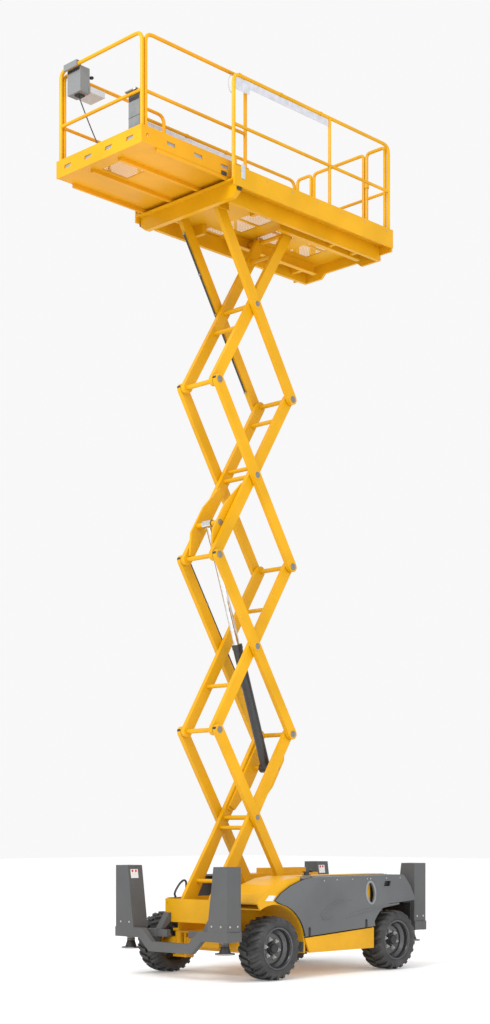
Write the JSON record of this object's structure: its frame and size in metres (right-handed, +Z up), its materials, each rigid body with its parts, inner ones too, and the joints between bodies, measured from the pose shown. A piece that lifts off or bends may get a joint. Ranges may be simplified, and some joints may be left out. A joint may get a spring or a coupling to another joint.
{
  "type": "rough-terrain scissor lift",
  "caption": "Self-propelled rough-terrain scissor lift, platform raised, deck extension rolled out, stabilisers up.",
  "frame": {"origin": "ground level, midway along the whole outline's length and on the machine's middle plane", "axes": "+X to the machine's front (the deck extension's end), +Y to its left, +Z up"},
  "size_m": [4.046, 1.8, 9.092],
  "materials": {
    "yellow": "gloss",
    "grey": "satin",
    "rubber": "matte",
    "rim": "satin",
    "black": "satin",
    "chrome": "polished",
    "dark_steel": "satin",
    "plastic": "matte",
    "hose": "matte",
    "engine": "matte"
  },
  "bodies": {
    "chassis": {"chassis_frame": "yellow", "front_axle": "yellow", "rear_axle": "yellow", "left_side_panel": "yellow", "right_side_panel": "yellow", "engine_block": "engine", "front_stabiliser_beam": "grey", "rear_stabiliser_beam": "grey", "front_left_stabiliser_cover": "grey", "front_right_stabiliser_cover": "grey", "rear_left_stabiliser_cover": "grey", "rear_right_stabiliser_cover": "grey"},
    "left_knuckle": {"left_knuckle": "yellow"},
    "left_hood": {"left_hood": "grey"},
    "front_left_wheel": {"front_left_rim": "rim", "front_left_tyre": "rubber"},
    "rear_left_wheel": {"rear_left_rim": "rim", "rear_left_tyre": "rubber"},
    "front_left_jack": {"front_left_jack": "black"},
    "rear_left_jack": {"rear_left_jack": "black"},
    "right_knuckle": {"right_knuckle": "yellow"},
    "right_hood": {"right_hood": "grey"},
    "front_right_wheel": {"front_right_rim": "rim", "front_right_tyre": "rubber"},
    "rear_right_wheel": {"rear_right_rim": "rim", "rear_right_tyre": "rubber"},
    "front_right_jack": {"front_right_jack": "black"},
    "rear_right_jack": {"rear_right_jack": "black"},
    "inner_1": {"inner_arms_1": "yellow"},
    "outer_1": {"outer_arms_1": "yellow"},
    "inner_2": {"inner_arms_2": "yellow"},
    "outer_2": {"outer_arms_2": "yellow"},
    "inner_3": {"inner_arms_3": "yellow"},
    "outer_3": {"outer_arms_3": "yellow"},
    "inner_4": {"inner_arms_4": "yellow"},
    "outer_4": {"outer_arms_4": "yellow"},
    "platform": {"platform_deck": "yellow", "platform_crossbeam": "yellow", "platform_left_rail": "yellow", "platform_right_rail": "yellow", "platform_rear_left_rail": "yellow", "platform_rear_right_rail": "yellow"},
    "lift_barrel": {"lift_cylinder_barrel": "dark_steel"},
    "lift_rod": {"lift_cylinder_rod": "chrome"},
    "gate": {"platform_gate": "yellow"},
    "extension": {"extension_deck": "yellow", "extension_left_rail": "yellow", "extension_right_rail": "yellow", "extension_front_rail": "yellow", "control_box": "plastic", "document_box": "plastic", "control_cable": "hose"}
  },
  "joints": [
    {"name": "left_steering", "type": "hinge", "parent": "chassis", "child": "left_knuckle", "pos_m": [0.418, 0.56, 0.32], "axis": [0, 0, 1], "range_deg": [-28, 28]},
    {"name": "left_hood_hinge", "type": "hinge", "parent": "chassis", "child": "left_hood", "pos_m": [-0.517, 0.6008, 1.0265], "axis": [1, 0, 0], "range_deg": [0, 70]},
    {"name": "front_left_wheel_spin", "type": "hinge", "parent": "left_knuckle", "child": "front_left_wheel", "pos_m": [0.418, 0.755, 0.32], "axis": [0, 1, 0], "continuous": true},
    {"name": "rear_left_wheel_spin", "type": "hinge", "parent": "chassis", "child": "rear_left_wheel", "pos_m": [-1.452, 0.755, 0.32], "axis": [0, 1, 0], "continuous": true},
    {"name": "front_left_jack_slide", "type": "slide", "parent": "chassis", "child": "front_left_jack", "axis": [0, 0, -1], "range_m": [0, 0.27]},
    {"name": "rear_left_jack_slide", "type": "slide", "parent": "chassis", "child": "rear_left_jack", "axis": [0, 0, -1], "range_m": [0, 0.27]},
    {"name": "right_steering", "type": "hinge", "parent": "chassis", "child": "right_knuckle", "pos_m": [0.418, -0.56, 0.32], "axis": [0, 0, 1], "range_deg": [-28, 28]},
    {"name": "right_hood_hinge", "type": "hinge", "parent": "chassis", "child": "right_hood", "pos_m": [-0.517, -0.6008, 1.0265], "axis": [-1, 0, 0], "range_deg": [0, 70]},
    {"name": "front_right_wheel_spin", "type": "hinge", "parent": "right_knuckle", "child": "front_right_wheel", "pos_m": [0.418, -0.755, 0.32], "axis": [0, 1, 0], "continuous": true},
    {"name": "rear_right_wheel_spin", "type": "hinge", "parent": "chassis", "child": "rear_right_wheel", "pos_m": [-1.452, -0.755, 0.32], "axis": [0, 1, 0], "continuous": true},
    {"name": "front_right_jack_slide", "type": "slide", "parent": "chassis", "child": "front_right_jack", "axis": [0, 0, -1], "range_m": [0, 0.27]},
    {"name": "rear_right_jack_slide", "type": "slide", "parent": "chassis", "child": "rear_right_jack", "axis": [0, 0, -1], "range_m": [0, 0.27]},
    {"name": "lift", "type": "hinge", "parent": "chassis", "child": "inner_1", "pos_m": [0.653, 0, 0.75], "axis": [0, 1, 0], "range_deg": [-54.4, 1.5]},
    {"name": "scissor_1_centre", "type": "hinge", "parent": "inner_1", "child": "outer_1", "pos_m": [0.10855, 0, 1.64196], "axis": [0, 1, 0], "range_deg": [-3, 108.8]},
    {"name": "scissor_2_foot", "type": "hinge", "parent": "outer_1", "child": "inner_2", "pos_m": [0.653, 0, 2.53392], "axis": [0, 1, 0], "range_deg": [-108.8, 3]},
    {"name": "scissor_2_centre", "type": "hinge", "parent": "inner_2", "child": "outer_2", "pos_m": [0.10855, 0, 3.42588], "axis": [0, 1, 0], "range_deg": [-3, 108.8]},
    {"name": "scissor_3_foot", "type": "hinge", "parent": "outer_2", "child": "inner_3", "pos_m": [0.653, 0, 4.31784], "axis": [0, 1, 0], "range_deg": [-108.8, 3]},
    {"name": "scissor_3_centre", "type": "hinge", "parent": "inner_3", "child": "outer_3", "pos_m": [0.10855, 0, 5.2098], "axis": [0, 1, 0], "range_deg": [-3, 108.8]},
    {"name": "scissor_4_foot", "type": "hinge", "parent": "outer_3", "child": "inner_4", "pos_m": [0.653, 0, 6.10176], "axis": [0, 1, 0], "range_deg": [-108.8, 3]},
    {"name": "scissor_4_centre", "type": "hinge", "parent": "inner_4", "child": "outer_4", "pos_m": [0.10855, 0, 6.99372], "axis": [0, 1, 0], "range_deg": [-3, 108.8]},
    {"name": "platform_level", "type": "hinge", "parent": "outer_4", "child": "platform", "pos_m": [0.653, 0, 7.88568], "axis": [0, 1, 0], "range_deg": [-54.4, 1.5]},
    {"name": "cylinder_swing", "type": "hinge", "parent": "inner_1", "child": "lift_barrel", "pos_m": [-0.3179, 0, 2.17745], "axis": [0, 1, 0], "range_deg": [-2.96, 107.17]},
    {"name": "cylinder_stroke", "type": "slide", "parent": "lift_barrel", "child": "lift_rod", "axis": [0.3232, 0, 0.9463], "range_m": [-1.2214, 0.0347]},
    {"name": "gate_hinge", "type": "hinge", "parent": "platform", "child": "gate", "pos_m": [-1.5227, 0.392, 7.96], "axis": [0, 0, 1], "range_deg": [0, 90]},
    {"name": "extension_slide", "type": "slide", "parent": "platform", "child": "extension", "axis": [1, 0, 0], "range_m": [-1.2, 0]}
  ],
  "couplings": [
    {"joint": "right_steering", "follows": "left_steering", "ratio": 1},
    {"joint": "scissor_1_centre", "follows": "lift", "ratio": -2},
    {"joint": "scissor_2_foot", "follows": "lift", "ratio": 2},
    {"joint": "scissor_2_centre", "follows": "lift", "ratio": -2},
    {"joint": "scissor_3_foot", "follows": "lift", "ratio": 2},
    {"joint": "scissor_3_centre", "follows": "lift", "ratio": -2},
    {"joint": "scissor_4_foot", "follows": "lift", "ratio": 2},
    {"joint": "scissor_4_centre", "follows": "lift", "ratio": -2},
    {"joint": "platform_level", "follows": "lift", "ratio": 1},
    {"joint": "cylinder_swing", "follows": "lift", "ratio": -1.9698},
    {"joint": "cylinder_stroke", "follows": "lift", "m_per_rad": 1.2854}
  ]
}
